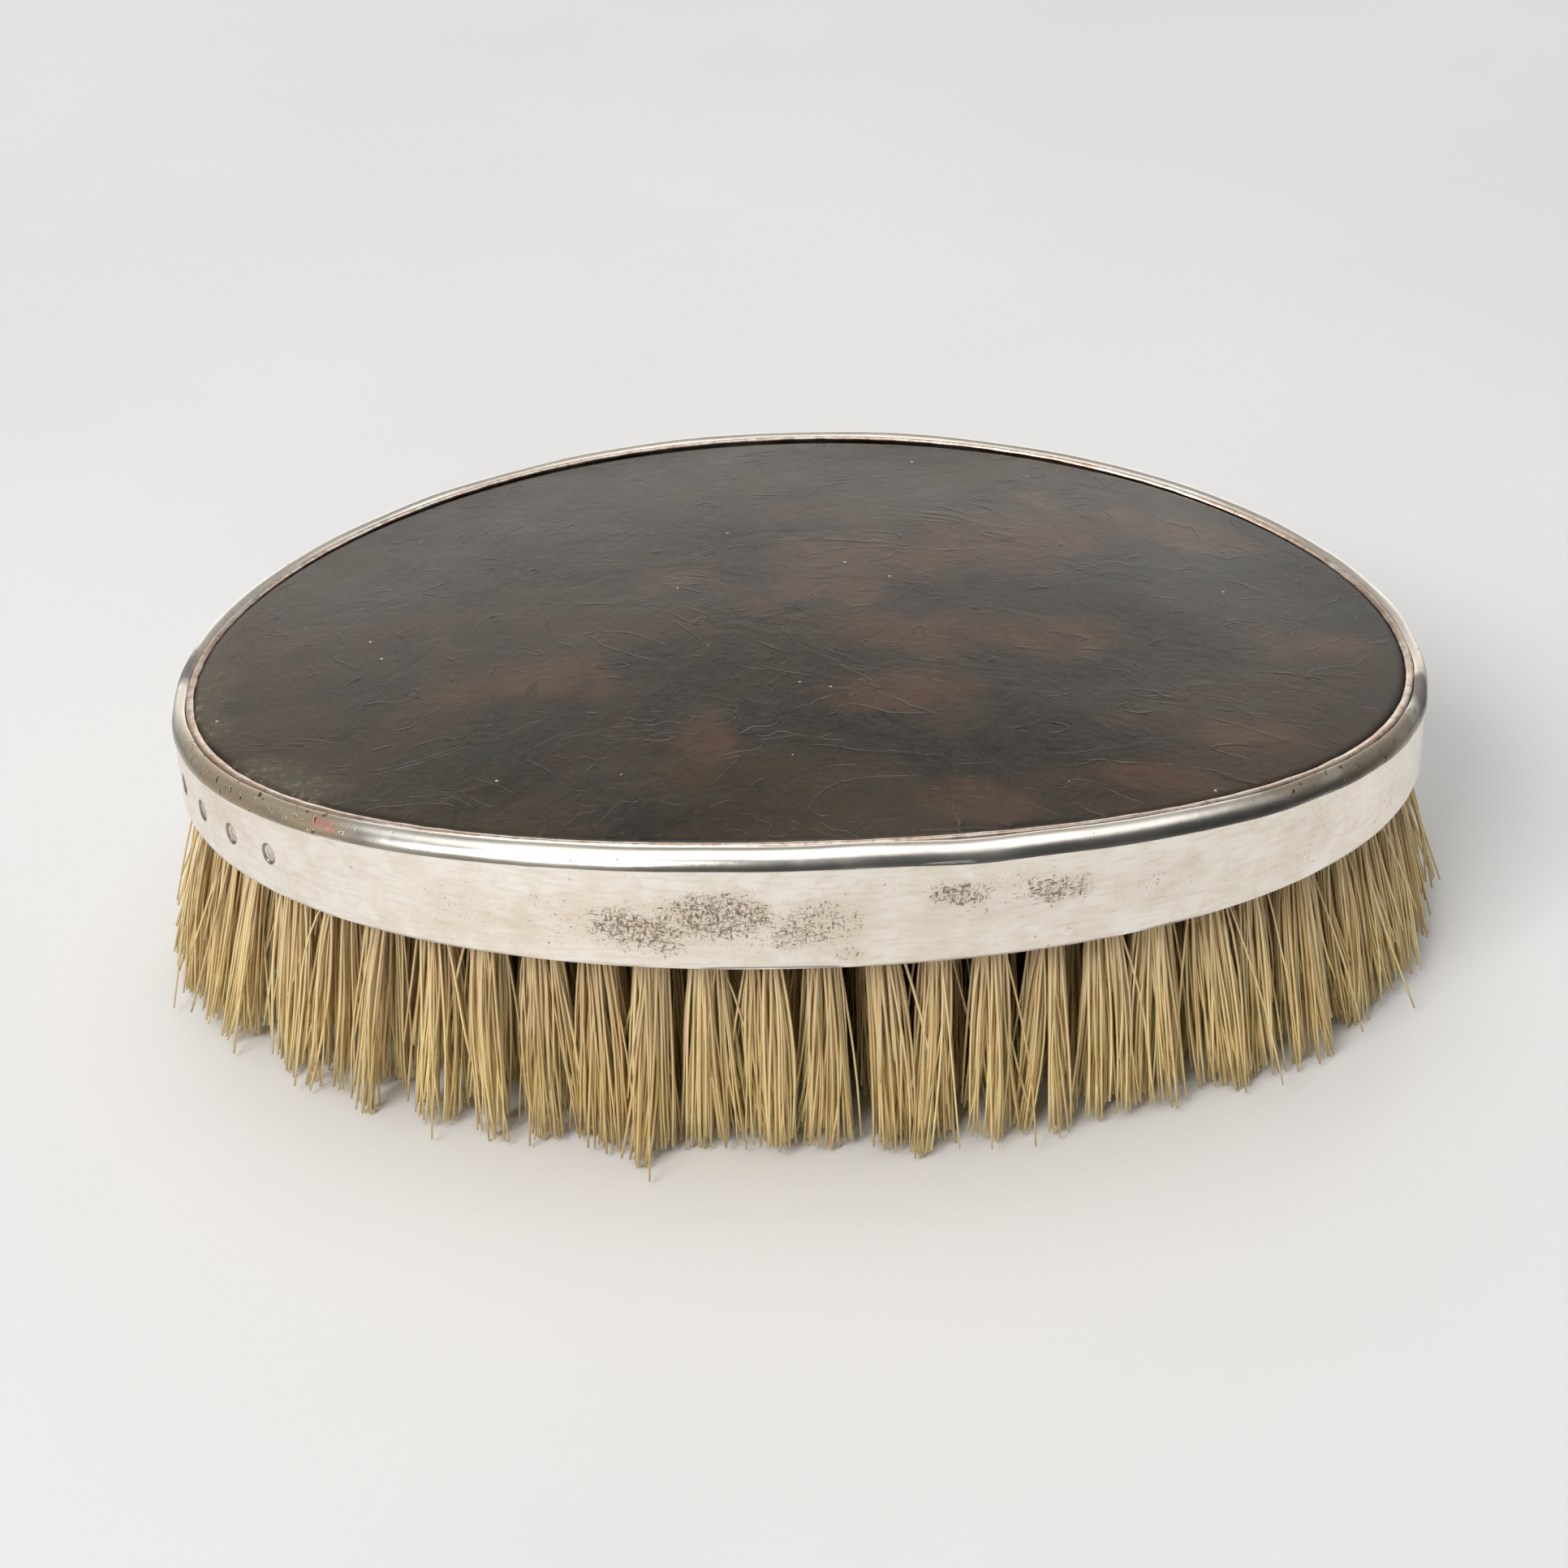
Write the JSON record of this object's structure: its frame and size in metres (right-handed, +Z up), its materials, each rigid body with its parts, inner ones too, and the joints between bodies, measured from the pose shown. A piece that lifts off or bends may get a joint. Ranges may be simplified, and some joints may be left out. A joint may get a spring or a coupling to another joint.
{
  "type": "vanity hairbrush",
  "caption": "Oval handle-less vanity hairbrush: silver side band with beaded rim, arched tortoiseshell back, drilled stock and rows of natural bristle tufts",
  "frame": {"origin": "centre of the bounding box's underside: the brush stands on its bristle tips on Z = 0", "axes": "+X along the brush's length, +Y across it, +Z up through the back"},
  "size_m": [0.1266, 0.077, 0.037],
  "materials": {
    "silver": "polished and worn, with light tarnish",
    "tortoiseshell": "polished, lightly scratched",
    "cement": "matt resinous cement",
    "wood": "bare wood",
    "bristle": "satin natural bristle"
  },
  "bodies": {
    "root": {"side_band": "silver", "rim_bead": "silver", "shell_bezel": "silver", "band_pin_1": "silver", "band_pin_2": "silver", "band_pin_3": "silver", "tortoiseshell_back": "tortoiseshell", "cement_bed": "cement", "packing_board": "wood", "bristle_stock": "wood", "bristle_row_1": "bristle", "bristle_row_2": "bristle", "bristle_row_3": "bristle", "bristle_row_4": "bristle", "bristle_row_5": "bristle", "bristle_row_middle": "bristle"}
  },
  "joints": []
}
